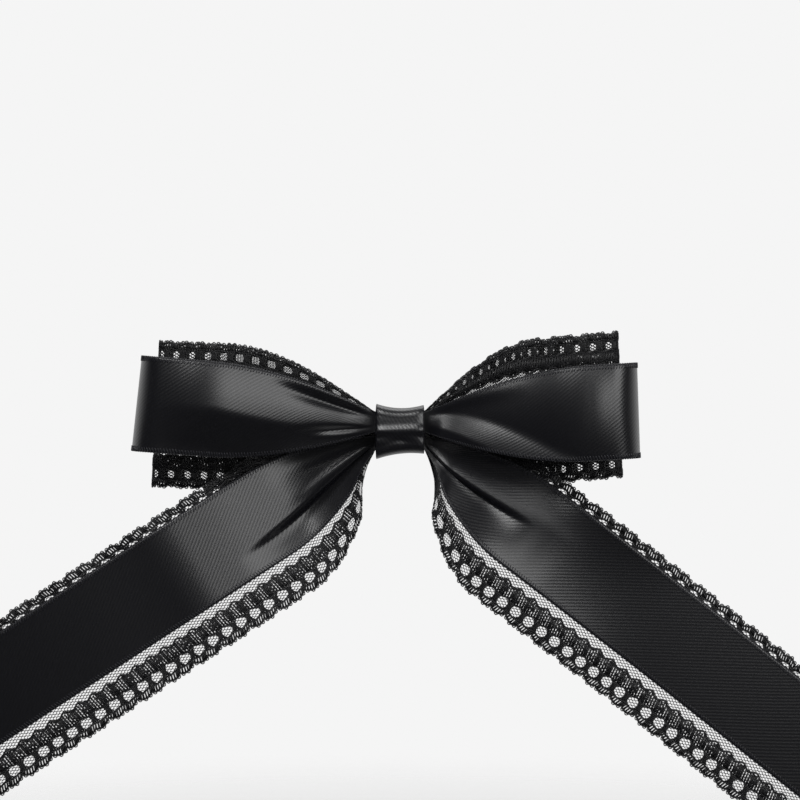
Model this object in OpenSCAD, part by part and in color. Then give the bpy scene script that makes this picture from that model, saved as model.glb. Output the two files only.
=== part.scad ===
// Ribbon hair bow on a steel alligator clip: looped satin and lace ribbons with hanging tails.
// The bow stands upright: X to the right, Z up, its front towards -Y. The origin is the middle of
// the grip, on the back face of the clip's top plate, behind the middle of the knot.

/* [Satin ribbon] */
// Width of the satin ribbon
satin_w = 24; // [18:0.5:28]
// Thickness of the satin ribbon
satin_t = 0.4; // [0.2:0.05:0.5]

/* [Lace ribbon] */
// Width of the lace ribbon
lace_w = 38; // [32:0.5:42]
// Thickness of the lace, embroidery included
lace_t = 0.4; // [0.2:0.05:0.5]
// How far the lace shows past the upper edge of the satin tail
lace_margin = 3; // [2:0.5:5]

/* [Loops] */
// Middle of the knot to the end of the left satin loop
loop_left = 67.5; // [58:0.5:75]
// Middle of the knot to the end of the right satin loop
loop_right = 61.2; // [54:0.5:75]
// Height of the middle of the left loop's end above the knot's middle
rise_left = 7.2; // [3:0.2:10]
// Height of the middle of the right loop's end above the knot's middle
rise_right = 5.4; // [3:0.2:10]
// The same two heights for the lace loops
lace_rise_left = 4.4; // [2:0.2:10]
lace_rise_right = 6.9; // [2:0.2:10]
// Depth of the satin loops, front layer to back layer, at their ends
loop_depth = 13; // [8:0.5:18]
// How much shorter than the satin loops the lace loops are
lace_short = 3.4; // [1:0.2:6]
// Depth of the lace loops at their ends
lace_depth = 6.4; // [5:0.2:9]
// Length over which a satin loop opens from the knot to its full width
loop_fan = 42; // [34:1:48]
// The same length for the left and the right lace loop
lace_fan_left = 40; // [32:1:48]
lace_fan_right = 32; // [28:1:48]
// Depth of the pleats of the satin loops' front
loop_pleat = 2.2; // [0.5:0.1:3]

/* [Tails] */
// Length of the left tail from the knot, down its middle
tail_left = 190; // [120:5:240]
// Length of the right tail from the knot, down its middle
tail_right = 185; // [120:5:240]
// Angle of the left tail below the horizontal
drop_left = 32; // [25:1:45]
// Angle of the right tail below the horizontal
drop_right = 37; // [25:1:45]
// Length over which a tail opens from the knot to its full width
tail_fan = 34; // [28:1:44]
// Depth of the pleats where a tail leaves the knot
tail_pleat = 2.4; // [0.5:0.1:3]
// How much longer the lower corner of a slanted tail end is
tail_slant = 12; // [0:1:20]

/* [Knot] */
// Width of the knot band, along X
knot_w = 12.3; // [10:0.1:15]
// Height of the knot band at its front
knot_h = 13; // [12.6:0.1:15]
// Thickness of the knot band, a folded strip of the satin
band_t = 0.7; // [0.5:0.05:0.8]
// Thickness of the binding thread
thread_d = 0.5; // [0.3:0.05:0.5]
// Turns of the binding thread
thread_turns = 4; // [2:1:6]

/* [Clip] */
// Length of the clip from the lever's end of the top plate to its tip
clip_len = 55; // [48:1:62]
// Width of the top plate at the hinge
clip_w = 8; // [7.6:0.1:8.4]
// Width of the top plate at the tip
tip_w = 5.2; // [4.4:0.1:5.6]
// Thickness of the clip's sheet steel
sheet_t = 0.8; // [0.6:0.05:0.9]
// Distance of the clip's tip from the knot's middle
tip_x = 33; // [30:0.5:38]
// Distance of the hinge pin from the knot's middle
hinge_x = 11; // [10.2:0.1:13]
// Diameter of the hinge pin
pin_d = 1.6; // [1.2:0.1:1.8]
// Height of the hinge pin's axis above the plate's back face
pin_y = 3; // [2.9:0.1:3.6]
// Angle of the jaw's lever to the plate when the clip is shut
lever_angle = 25; // [23:1:30]
// Distance from one tooth of the jaw to the next
tooth_pitch = 1.9; // [1.4:0.1:2.6]
// Depth of the jaw's teeth
tooth_depth = 0.8; // [0.4:0.1:1]
// Wire of the torsion spring
wire_d = 0.5; // [0.4:0.05:0.5]
// Turns of the torsion spring
spring_turns = 3; // [2:1:3]

/* [Hidden] */
$fn = 48;

satin_color = [0.05, 0.055, 0.075];
lace_color = [0.09, 0.09, 0.12];

// Gaps between the layers at the knot, from the plate to the front
pad_t = 1.8;
lace_gap = 1.6;
tail_gap = 2.2;
ribbon_gap = 1;
loop_gap = 2.4;
front_gap = 1.8;
// The Y of the middle of each layer
lace_back_y = -sheet_t - pad_t;
lace_front_y = lace_back_y - lace_gap;
lace_tail_y = lace_front_y - tail_gap;
satin_tail_y = lace_tail_y - ribbon_gap;
satin_back_y = satin_tail_y - loop_gap;
satin_front_y = satin_back_y - front_gap;
knot_pleat = 0.6;
lace_pleat = 0.4;

// Where the ribbons leave the knot
knot_edge = knot_w / 2 + 0.1;
loop_knot_z = 1.8;
tail_exit_z = -3.1;
gather_w = 5.2;
tail_gather = 1.7;
tail_droop = 5;
turn_len = 14;

// Distances from the knot: where the pleats are whole, where they start to die away and where
// they end, and where the gathers of the loops end
pleat_full = 14;
pleat_hold = 18;
pleat_end = 48;
gather_end = 20;
// Width of a pleat at the knot's edge and on the open tail
ridge_w = tail_gather;
ridge_open = 9;
// The tails wave, lean forward and are cut at a slant
tail_wave = 1.6;
wave_len = 190;
wave_start = 40;
tail_lean = 2;
lean_start = 30;
lean_len = 90;
slant_start = 100;
// The ends of the loops stand out from the layers at the knot
satin_stand = 0.6;
lace_stand = 1;

// Facets of the cloth
across = 10;
lace_across = 6;
loop_steps = 12;
wrap_steps = 5;
tail_steps = 13;

// ---- Cloth -------------------------------------------------------------------------------

function clamp(u) = min(1, max(0, u));
function smooth(u) = let (c = clamp(u)) c * c * (3 - 2 * c);
// Rises fast and levels off: how a gathered ribbon opens
function opening(u) = sin(90 * clamp(u));
// The rise and fall of the pleats along the ribbon
function pleat_fade(s) =
    smooth(s / pleat_full) * (1 - smooth((s - pleat_hold) / (pleat_end - pleat_hold)));

// A closed solid between two grids of points with the same rows and columns. A ring joins its
// last row to its first; a strip has its two ends closed.
module cloth(front, back, ring = false) {
    rows = len(front);
    cols = len(front[0]);
    half = rows * cols;
    points = [for (grid = [front, back]) for (row = grid) for (p = row) p];
    last = ring ? rows - 1 : rows - 2;
    sheet = [for (i = [0 : last]) for (j = [0 : cols - 2])
        let (a = i * cols + j, b = ((i + 1) % rows) * cols + j)
        each [[a, a + 1, b + 1], [a, b + 1, b]]];
    edges = [for (i = [0 : last]) let (a = i * cols, b = ((i + 1) % rows) * cols, e = cols - 1)
        each [[a, b, b + half], [a, b + half, a + half],
              [b + e, a + e, a + e + half], [b + e, a + e + half, b + e + half]]];
    ends = ring ? [] : [for (j = [0 : cols - 2]) let (z = (rows - 1) * cols + j)
        each [[j + 1, j, j + half], [j + 1, j + half, j + 1 + half],
              [z, z + 1, z + 1 + half], [z, z + 1 + half, z + half]]];
    flipped = [for (t = sheet) [t[0] + half, t[2] + half, t[1] + half]];
    polyhedron(points = points, faces = concat(sheet, flipped, edges, ends), convexity = 8);
}

// ---- Loops -------------------------------------------------------------------------------

// The outline of one side of a looped ribbon seen from above: out along the front layer, round
// the end and back in along the back layer, as [distance from the knot's middle, Y]. The back
// layer is flat as far as flat_to.
function loop_path(reach, front_y, back_y, end_front_y, end_back_y, flat_to) =
    let (r = abs(end_back_y - end_front_y) / 2, mid = (end_front_y + end_back_y) / 2,
         straight = reach - r)
    concat(
        [for (i = [0 : loop_steps - 1]) let (x = straight * pow(i / loop_steps, 1.3))
            [x, front_y + (end_front_y - front_y) * smooth((x - knot_edge) / (straight * 0.62))]],
        [for (i = [0 : wrap_steps]) let (a = -90 + 180 * i / wrap_steps)
            [straight + r * cos(a), mid + r * sin(a)]],
        [for (i = [loop_steps - 1 : -1 : 0]) let (x = straight * pow(i / loop_steps, 1.3))
            [x, back_y + (end_back_y - back_y) * smooth((x - flat_to) / (straight - flat_to))]]);

// Both sides joined into one ring, as [x, y, 1 on a front layer or 0]
function ring_path(right, left) =
    let (n = len(right), half = n / 2)
    concat(
        [for (i = [0 : n - 1]) [right[i][0], right[i][1], i < half ? 1 : 0]],
        [for (i = [n - 2 : -1 : 1]) [-left[i][0], left[i][1], i < half ? 1 : 0]]);

// The value for the side that x is on, from a pair for the left and the right
function side_of(x, pair) = x < 0 ? pair[0] : pair[1];
reaches = [loop_left, loop_right];

// Height of a loop's middle line, and half its width, at x
function loop_z(x, rises) =
    loop_knot_z + (side_of(x, rises) - loop_knot_z) * abs(x) / side_of(x, reaches);
function loop_half(x, full, fans) =
    (gather_w + (full - gather_w) * opening((abs(x) - knot_edge) / side_of(x, fans))) / 2;

// One face of a ring of ribbon: the points on one side of its middle surface
function ring_face(path, full, fans, rises, pleat, columns, offset) =
    let (n = len(path))
    [for (i = [0 : n - 1])
        let (p = path[i], a = path[(i + n - 1) % n], b = path[(i + 1) % n],
             run = norm([b[0] - a[0], b[1] - a[1]]),
             out = [(b[1] - a[1]) / run, -(b[0] - a[0]) / run],
             x = p[0], half = loop_half(x, full, fans), middle = loop_z(x, rises),
             gather = knot_pleat * (1 - smooth((abs(x) - knot_edge) / gather_end)),
             depth = p[2] * (gather + (pleat - knot_pleat) * pleat_fade(abs(x) - knot_edge)))
        [for (j = [0 : columns])
            let (u = -1 + 2 * j / columns, push = offset + depth * cos(330 * u + (x < 0 ? 40 : -50)))
            [x + out[0] * push, p[1] + out[1] * push, middle + u * half]]];

module ring_ribbon(path, full, thick, fans, rises, pleat, columns) {
    cloth(ring_face(path, full, fans, rises, pleat, columns, thick / 2),
          ring_face(path, full, fans, rises, pleat, columns, -thick / 2), ring = true);
}

end_back_y = satin_back_y - satin_stand;
end_front_y = end_back_y - loop_depth;
satin_path = ring_path(
    loop_path(loop_right, satin_front_y, satin_back_y, end_front_y, end_back_y, knot_edge),
    loop_path(loop_left, satin_front_y, satin_back_y, end_front_y, end_back_y, knot_edge));

lace_end_front = lace_front_y - lace_stand;
lace_path = ring_path(
    loop_path(loop_right - lace_short, lace_front_y, lace_back_y, lace_end_front,
              lace_end_front + lace_depth, tip_x),
    loop_path(loop_left - lace_short, lace_front_y, lace_back_y, lace_end_front,
              lace_end_front + lace_depth, tip_x));

module satin_loops() {
    color(satin_color)
        ring_ribbon(satin_path, satin_w, satin_t, [loop_fan, loop_fan],
                    [rise_left, rise_right], loop_pleat, across);
}

module lace_loops() {
    color(lace_color)
        ring_ribbon(lace_path, lace_w, lace_t, [lace_fan_left, lace_fan_right],
                    [lace_rise_left, lace_rise_right], lace_pleat, lace_across);
}

// ---- Tails -------------------------------------------------------------------------------

// Rows of a tail ribbon from the left end to the right end, as [side, distance from the knot]
tail_rows = concat(
    [for (i = [0 : tail_steps]) [-1, pow(1 - i / tail_steps, 1.6)]],
    [for (i = [0 : tail_steps]) [1, pow(i / tail_steps, 1.6)]]);

function tail_len(side) = side < 0 ? tail_left : tail_right;
function tail_drop(side) = side < 0 ? drop_left : drop_right;

// A face of a tail ribbon. upper and lower are how far its edges are from the middle line when
// it lies open, columns its facets across, and y the depth of its layer.
function tail_face(upper, lower, columns, y) =
    [for (row = tail_rows)
        let (side = row[0], a = row[1] * tail_len(side), drop = tail_drop(side),
             turn = drop * smooth(a / turn_len),
             open = opening(a / tail_fan),
             up = tail_gather + (upper - tail_gather) * open,
             down = tail_gather + (lower - tail_gather) * open,
             depth = knot_pleat + (tail_pleat - knot_pleat) * pleat_fade(a),
             fold = 1 - smooth((a - pleat_full) / (pleat_end - pleat_full)),
             x = knot_edge + a * cos(drop),
             z = tail_exit_z - a * sin(drop) - tail_droop * pow(a / tail_len(side), 2),
             wave = tail_wave * sin(360 * a / wave_len) * smooth((a - wave_start) / wave_start),
             sway = wave - tail_lean * smooth((a - lean_start) / lean_len))
        [for (j = [0 : columns])
            let (v = -up + (up + down) * j / columns,
                 cut = smooth((a - slant_start) / (tail_len(side) - slant_start)),
                 slant = tail_slant * cut * v / (up + down),
                 ridge = depth * fold
                     * (0.5 + 0.5 * cos(200 * v / (ridge_w + ridge_open * open) + 60)))
            [side * (x - v * sin(turn) + slant * cos(drop)),
             y + sway - ridge,
             z - v * cos(turn) - slant * sin(drop)]]];

module tail_ribbon(upper, lower, thick, columns, y) {
    cloth(tail_face(upper, lower, columns, y + thick / 2),
          tail_face(upper, lower, columns, y - thick / 2));
}

satin_upper = satin_w * 0.47;

module satin_tails() {
    color(satin_color)
        tail_ribbon(satin_upper, satin_w - satin_upper, satin_t, across, satin_tail_y);
}

module lace_tails() {
    upper = satin_upper + lace_margin;
    color(lace_color)
        tail_ribbon(upper, lace_w - upper, lace_t, lace_across + 2, lace_tail_y);
}

// ---- Knot --------------------------------------------------------------------------------

band_front_y = satin_front_y - knot_pleat - satin_t / 2 - thread_d - band_t - 0.4;
band_back_y = band_t + 0.05;
band_round = 2.6;
band_back_h = clip_w + 2 * band_t + 0.8;
// Its sides run straight along the ribbons as far back as this, then turn in to the plate
band_turn_y = -sheet_t - 0.5;

// Points of the band's loop at x, drawn in by inset: the front, rounded and with a soft crease
// across it, and the flat back run behind the clip's plate
function band_ring(x, inset) =
    let (u = 2 * x / knot_w, top = knot_h / 2 - 0.35 * (1 - u * u),
         bottom = -knot_h / 2 + 0.3 * (1 - u * u),
         front = band_front_y + inset, back = band_back_y - inset,
         r = band_round - inset, rb = 1.1 - inset, hb = band_back_h / 2 - inset)
    concat(
        [for (a = [0 : 30 : 90]) [back - rb + rb * cos(a), hb - rb + rb * sin(a)]],
        [[band_turn_y, top - inset]],
        [for (a = [90 : 30 : 180])
            [front + r + r * cos(a), top - inset - r + r * sin(a)]],
        [for (k = [1 : 4]) let (z = (top - band_round) + (bottom - top + 2 * band_round) * k / 5)
            [front - 0.5 * pow(cos(90 * clamp(abs(z - 0.8) / 3)), 2), z]],
        [for (a = [180 : 30 : 270])
            [front + r + r * cos(a), bottom + inset + r + r * sin(a)]],
        [[band_turn_y, bottom + inset]],
        [for (a = [270 : 30 : 360]) [back - rb + rb * cos(a), -hb + rb + rb * sin(a)]]);

module knot_band() {
    steps = 6;
    outer = [for (i = [0 : steps]) let (x = knot_w * (i / steps - 0.5))
        [for (p = band_ring(x, 0)) [x, p[0], p[1]]]];
    inner = [for (i = [0 : steps]) let (x = knot_w * (i / steps - 0.5))
        [for (p = band_ring(x, band_t)) [x, p[0], p[1]]]];
    color(satin_color)
        tube_wall(outer, inner);
}

// The wall between two nested tubes, given as rows of closed rings
module tube_wall(outer, inner) {
    rows = len(outer);
    cols = len(outer[0]);
    half = rows * cols;
    points = [for (grid = [outer, inner]) for (row = grid) for (p = row) p];
    wall = [for (i = [0 : rows - 2]) for (j = [0 : cols - 1])
        let (a = i * cols + j, b = i * cols + (j + 1) % cols)
        each [[a, b + cols, b], [a, a + cols, b + cols]]];
    inside = [for (t = wall) [t[0] + half, t[2] + half, t[1] + half]];
    rims = [for (j = [0 : cols - 1]) let (k = (j + 1) % cols, z = (rows - 1) * cols)
        each [[j, k, k + half], [j, k + half, j + half],
              [z + k, z + j, z + j + half], [z + k, z + j + half, z + k + half]]];
    polyhedron(points = points, faces = concat(wall, inside, rims), convexity = 4);
}

// A tube of six sides along a list of points
module wire(route, d, sides = 6) {
    n = len(route);
    rings = [for (i = [0 : n - 1])
        let (a = route[max(0, i - 1)], b = route[min(n - 1, i + 1)],
             t = (b - a) / norm(b - a),
             ref = abs(t[2]) < 0.9 ? [0, 0, 1] : [1, 0, 0],
             n1 = cross(t, ref) / norm(cross(t, ref)), n2 = cross(t, n1))
        [for (k = [0 : sides - 1]) let (g = 360 * k / sides)
            route[i] + d / 2 * (cos(g) * n1 + sin(g) * n2)]];
    walls = [for (i = [0 : n - 2]) for (k = [0 : sides - 1])
        let (a = i * sides + k, b = i * sides + (k + 1) % sides)
        each [[a, b + sides, b], [a, a + sides, b + sides]]];
    caps = [for (k = [1 : sides - 2]) each [[0, k, k + 1],
        [(n - 1) * sides, (n - 1) * sides + k + 1, (n - 1) * sides + k]]];
    polyhedron(points = [for (ring = rings) for (p = ring) p], faces = concat(walls, caps),
               convexity = 10);
}

// Least distance between a route and its own next turns, less its thickness
function self_gap(route, skip, d) =
    min([for (i = [0 : len(route) - 1 - skip]) for (j = [i + skip : len(route) - 1])
        norm(route[i] - route[j])]) - d;

// The thread winds round the gathered ribbons in front of the clip's plate
thread_pitch = thread_d + 0.5;
thread_steps = 24;
thread_front_y = band_front_y + band_t + thread_d / 2 + 0.1;
thread_back_y = lace_back_y + (lace_t + thread_d) / 2 + 0.4;
thread_h = knot_h / 2 - 0.35 - band_t - thread_d / 2 - 0.05;
thread_route = [for (i = [0 : thread_steps * thread_turns])
    let (a = 360 * i / thread_steps, c = cos(a), s = sin(a),
         k = pow(pow(abs(c), 8) + pow(abs(s), 8), -1 / 8),
         mid = (thread_front_y + thread_back_y) / 2, deep = (thread_back_y - thread_front_y) / 2)
    [thread_pitch * (i / thread_steps - thread_turns / 2), mid + deep * c * k,
     thread_h * s * k]];

module binding_thread() {
    color([0.07, 0.07, 0.08]) wire(thread_route, thread_d);
}

// ---- Clip --------------------------------------------------------------------------------

rear_x = tip_x - clip_len;
ear_gap = 0.2;
ear_r = pin_d / 2 + 1.2;
jaw_half = clip_w / 2 - sheet_t - ear_gap;
pin_clear = 0.1;
bite_gap = 0.15;
jaw_root_y = 2.6;
arch_y = pin_y + ear_r + 0.3;
arch_front = -hinge_x + ear_r + 3;
arch_back = -hinge_x - ear_r - 1.6;
teeth_x = knot_w / 2 + 2.8;
band_room = band_back_y + 0.7;
lever_len = arch_back - rear_x + 3;
nose_len = 1.6;

// The outline of a strip seen from the back, widest over the hinge and round at both ends,
// drawn in by inset
module strip_plan(rear_end, front_end, rear_half, hinge_half, front_half, inset = 0) {
    rear = [rear_end + rear_half, rear_half - inset];
    front = [front_end - front_half, front_half - inset];
    polygon([[rear[0], rear[1]], [-hinge_x, hinge_half - inset], [front[0], front[1]],
             [front[0], -front[1]], [-hinge_x, inset - hinge_half], [rear[0], -rear[1]]]);
    translate([rear[0], 0]) circle(rear[1]);
    translate([front[0], 0]) circle(front[1]);
}

// Raises a plan in X and Z along Y, from y0 to y1
module raise(y0, y1) {
    translate([0, y1, 0]) rotate([90, 0, 0]) linear_extrude(y1 - y0) children();
}

// Spreads a profile in X and Y along Z, half to each side
module spread(half) {
    translate([0, 0, -half]) linear_extrude(2 * half) children();
}

// Two glue dabs fill the space between the lace and the plate beside the knot
pad_len = 10;
pad_gap = 1.2;
pad_w = 5.2;

module glue_pads() {
    color([0.85, 0.84, 0.8])
        for (side = [-1, 1])
            raise(lace_back_y + lace_t / 2 + 0.05, -sheet_t)
                translate([side * (knot_edge + pad_gap + pad_len / 2), 0]) {
                    square([pad_len - pad_w, pad_w], center = true);
                    for (end = [-1, 1])
                        translate([end * (pad_len - pad_w) / 2, 0]) circle(pad_w / 2);
                }
}

module clip_top_plate() {
    color([0.75, 0.76, 0.78]) {
        difference() {
            union() {
                raise(-sheet_t, 0)
                    strip_plan(rear_x, tip_x, clip_w / 2 - 0.6, clip_w / 2, tip_w / 2);
                // Two ears folded back from the plate hold the pin
                for (side = [-1, 1])
                    translate([0, 0, side * (clip_w - sheet_t) / 2])
                        spread(sheet_t / 2) {
                            translate([-hinge_x, pin_y]) circle(ear_r);
                            polygon([[-hinge_x - ear_r - 1.2, -sheet_t / 2],
                                     [-hinge_x - ear_r, pin_y],
                                     [-hinge_x + ear_r, pin_y],
                                     [-hinge_x + ear_r + 0.6, -sheet_t / 2]]);
                        }
            }
            translate([-hinge_x, pin_y]) spread(clip_w) circle(pin_d / 2);
        }
    }
}

// The jaw's back: nose, flat run over the teeth, slope up to the arch, arch and lever
jaw_line = [
    [tip_x - 0.2, jaw_root_y - 1.1], [tip_x - nose_len, jaw_root_y],
    [teeth_x + 3, jaw_root_y], [arch_front, arch_y], [arch_back, arch_y],
    [arch_back - lever_len * cos(lever_angle), arch_y + lever_len * sin(lever_angle)]
];

// The outline of a sheet along a bent line, which is its inner face
module bent_sheet(line) {
    n = len(line);
    turn = [for (i = [0 : n - 2]) let (run = line[i + 1] - line[i]) atan2(run[1], run[0]) - 90];
    outer = [for (i = [0 : n - 1])
        let (a = turn[max(0, i - 1)], b = turn[min(n - 2, i)], mid = (a + b) / 2,
             reach = sheet_t / cos((b - a) / 2))
        line[i] + reach * [cos(mid), sin(mid)]];
    polygon(concat(line, [for (i = [n - 1 : -1 : 0]) outer[i]]));
}

// The jaw's side: a toothed edge that meets the plate, and a web round the pin
module jaw_side() {
    run = tip_x - nose_len - teeth_x;
    count = floor(run / tooth_pitch);
    root = bite_gap + tooth_depth;
    polygon(concat(
        [[teeth_x, band_room], [teeth_x, root]],
        [for (i = [0 : count - 1]) let (x = teeth_x + i * tooth_pitch)
            each [[x + tooth_pitch / 2, bite_gap], [x + tooth_pitch, root]]],
        [[tip_x - nose_len, root], [tip_x - nose_len, jaw_root_y + 0.1],
         [teeth_x + 3, jaw_root_y + 0.1], [arch_front, arch_y + 0.1],
         [-hinge_x - ear_r, arch_y + 0.1], [-hinge_x - ear_r, pin_y],
         [-hinge_x + ear_r - 0.2, band_room]]));
    translate([-hinge_x, pin_y]) circle(ear_r);
}

module jaw_plan(inset = 0) {
    strip_plan(rear_x - 3, tip_x, jaw_half, jaw_half, tip_w / 2, inset);
}

module clip_jaw() {
    high = arch_y + sheet_t + lever_len;
    color([0.72, 0.73, 0.75])
        difference() {
            union() {
                intersection() {
                    spread(clip_w) bent_sheet(jaw_line);
                    raise(0, high) jaw_plan();
                }
                intersection() {
                    spread(clip_w) jaw_side();
                    raise(0, high) difference() {
                        jaw_plan();
                        jaw_plan(sheet_t);
                    }
                }
            }
            translate([-hinge_x, pin_y]) spread(clip_w) circle(pin_d / 2 + pin_clear);
        }
}

head_t = 0.4;

module hinge_pin() {
    color([0.8, 0.8, 0.82])
        translate([-hinge_x, pin_y]) {
            spread(clip_w / 2 + head_t) circle(pin_d / 2);
            for (side = [-1, 1])
                translate([0, 0, side * (clip_w + head_t) / 2])
                    spread(head_t / 2) circle(pin_d / 2 + 0.5);
        }
}

// Torsion spring: its turns lie round the pin, its legs press the plate and the lever apart
spring_r = pin_d / 2 + 0.3 + wire_d / 2;
spring_room = 2 * (jaw_half - sheet_t) - wire_d - 0.3;
spring_pitch = spring_room / (spring_turns + 0.5);
spring_steps = 8;
leg_len = 0.67 * lever_len;
spring_route = concat(
    [[-hinge_x - leg_len, wire_d / 2 + 0.1, -spring_pitch * spring_turns / 2]],
    [for (i = [0 : spring_steps * spring_turns + spring_steps / 2])
        let (a = -90 + 360 * i / spring_steps)
        [-hinge_x + spring_r * cos(a), pin_y + spring_r * sin(a),
         spring_pitch * (i / spring_steps - 0.25 - spring_turns / 2)]],
    [[-hinge_x - leg_len,
      arch_y - wire_d / 2 - 1.3 + (leg_len - ear_r - 1.6) * tan(lever_angle),
      spring_pitch * (spring_turns + 0.5) / 2]]);

module clip_spring() {
    color([0.6, 0.61, 0.63]) wire(spring_route, wire_d);
}

echo(thread_gap = self_gap(thread_route, thread_steps - 2, thread_d));
echo(spring_gap = self_gap([for (i = [1 : len(spring_route) - 2]) spring_route[i]],
                           spring_steps - 1, wire_d));

satin_loops();
satin_tails();
lace_tails();
lace_loops();
binding_thread();
knot_band();
glue_pads();
clip_top_plate();
clip_jaw();
hinge_pin();
clip_spring();
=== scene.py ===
# Ribbon hair bow: looped satin and lace ribbons, two hanging tails, a folded knot band, and a
# steel alligator clip behind them.
import math

import bpy
import numpy as np
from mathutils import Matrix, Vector


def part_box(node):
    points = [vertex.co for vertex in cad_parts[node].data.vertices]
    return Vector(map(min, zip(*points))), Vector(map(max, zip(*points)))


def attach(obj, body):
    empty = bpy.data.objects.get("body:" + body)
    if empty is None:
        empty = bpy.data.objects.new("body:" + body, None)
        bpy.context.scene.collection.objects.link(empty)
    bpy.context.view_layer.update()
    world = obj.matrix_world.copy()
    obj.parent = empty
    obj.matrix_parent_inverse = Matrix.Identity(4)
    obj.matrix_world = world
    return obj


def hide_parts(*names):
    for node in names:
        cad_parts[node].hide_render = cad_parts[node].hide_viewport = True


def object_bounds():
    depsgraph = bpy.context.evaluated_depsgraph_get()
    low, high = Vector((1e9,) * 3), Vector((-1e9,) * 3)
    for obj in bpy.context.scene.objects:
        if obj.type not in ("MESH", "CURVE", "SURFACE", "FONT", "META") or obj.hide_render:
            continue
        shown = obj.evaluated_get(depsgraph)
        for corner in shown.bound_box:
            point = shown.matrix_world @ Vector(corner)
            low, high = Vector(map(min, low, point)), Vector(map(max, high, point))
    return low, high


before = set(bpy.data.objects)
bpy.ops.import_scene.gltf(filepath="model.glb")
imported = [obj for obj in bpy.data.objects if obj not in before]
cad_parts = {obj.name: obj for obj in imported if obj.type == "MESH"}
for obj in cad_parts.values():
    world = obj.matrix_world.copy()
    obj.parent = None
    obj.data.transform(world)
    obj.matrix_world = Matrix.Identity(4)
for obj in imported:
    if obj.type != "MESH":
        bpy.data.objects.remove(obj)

MM = 0.001
cad_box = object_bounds()

# ---- Studio ------------------------------------------------------------------------------
# The bow is held upright in front of a pale, even background. A long lens looks straight at
# it, soft boxes light it, and a pale floor lies under the ends of the tails.

view_width = 206.2 * MM
view_plane_y = -14 * MM
view_centre_z = 8 * MM
camera_back = 620 * MM

camera_data = bpy.data.cameras.new("camera")
camera_data.sensor_width = 36
camera_data.lens = camera_data.sensor_width * camera_back / view_width
camera = bpy.data.objects.new("camera", camera_data)
camera.location = (0, view_plane_y - camera_back, view_centre_z)
camera.rotation_euler = (math.radians(90), 0, 0)
bpy.context.scene.collection.objects.link(camera)
bpy.context.scene.camera = camera
bpy.context.scene.view_settings.view_transform = "Standard"


def softbox(name, place, width, height, watts, mirrored=True):
    """A rectangular soft box at a place in metres, turned to the knot."""
    lamp = bpy.data.lights.new(name, "AREA")
    lamp.shape = "RECTANGLE"
    lamp.size = width
    lamp.size_y = height
    lamp.energy = watts
    holder = bpy.data.objects.new(name, lamp)
    holder.location = place
    holder.rotation_euler = (-Vector(place)).to_track_quat("-Z", "Y").to_euler()
    holder.visible_glossy = mirrored
    bpy.context.scene.collection.objects.link(holder)


softbox("key_box", (0.56, -0.84, 0.29), 0.62, 0.62, 2.9)
softbox("front_box", (-0.25, -0.67, 0.70), 0.52, 0.36, 3.2)
softbox("fill_box", (-0.75, -0.70, 0.45), 0.5, 0.5, 2, mirrored=False)
softbox("top_box", (0.1, 0.35, 1.0), 0.6, 0.4, 2)

backdrop_grey = 0.913
room_grey = 0.02


def node(tree, kind, values=None, **settings):
    """A shader node, with its settings and with plain values put on its sockets."""
    made = tree.nodes.new(kind)
    for key, value in settings.items():
        setattr(made, key, value)
    for socket, value in (values or {}).items():
        made.inputs[socket].default_value = value
    return made


def math_node(tree, operation, first, second=None, third=None):
    """A math node whose inputs are sockets or plain numbers. Returns its output."""
    made = node(tree, "ShaderNodeMath", operation=operation)
    for socket, value in zip(made.inputs, (first, second, third)):
        if isinstance(value, bpy.types.NodeSocket):
            tree.links.new(value, socket)
        elif value is not None:
            socket.default_value = value
    return made.outputs[0]


def new_material(name):
    """A material with nodes. Returns it with its node tree and its shader."""
    material = bpy.data.materials.new(name)
    material.use_nodes = True
    return material, material.node_tree, material.node_tree.nodes["Principled BSDF"]


world = bpy.data.worlds.new("studio")
world.use_nodes = True
bpy.context.scene.world = world
sky = world.node_tree
sky.nodes.clear()
path = node(sky, "ShaderNodeLightPath")
ambient = node(sky, "ShaderNodeBackground", {"Color": (1, 1, 1, 1), "Strength": 0.5})
backdrop = node(sky, "ShaderNodeBackground", {"Color": (1, 1, 1, 1), "Strength": backdrop_grey})
# Mirrors see the pale backdrop behind the bow and the darker room in front of it
direction = node(sky, "ShaderNodeTexCoord")
parts = node(sky, "ShaderNodeSeparateXYZ")
sky.links.new(direction.outputs["Generated"], parts.inputs[0])
rise = node(sky, "ShaderNodeMapRange", {"From Min": -0.25, "From Max": 0.6, "To Min": room_grey,
                                        "To Max": backdrop_grey}, interpolation_type="SMOOTHSTEP")
sky.links.new(parts.outputs["Y"], rise.inputs["Value"])
mirrored = node(sky, "ShaderNodeBackground", {"Color": (1, 1, 1, 1)})
sky.links.new(rise.outputs[0], mirrored.inputs["Strength"])
seen = math_node(sky, "MAXIMUM", path.outputs["Is Camera Ray"],
                 path.outputs["Is Transmission Ray"])
glossy_mix = node(sky, "ShaderNodeMixShader")
sky.links.new(path.outputs["Is Glossy Ray"], glossy_mix.inputs[0])
sky.links.new(ambient.outputs[0], glossy_mix.inputs[1])
sky.links.new(mirrored.outputs[0], glossy_mix.inputs[2])
seen_mix = node(sky, "ShaderNodeMixShader")
sky.links.new(seen, seen_mix.inputs[0])
sky.links.new(glossy_mix.outputs[0], seen_mix.inputs[1])
sky.links.new(backdrop.outputs[0], seen_mix.inputs[2])
world_out = node(sky, "ShaderNodeOutputWorld")
sky.links.new(seen_mix.outputs[0], world_out.inputs[0])

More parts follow.
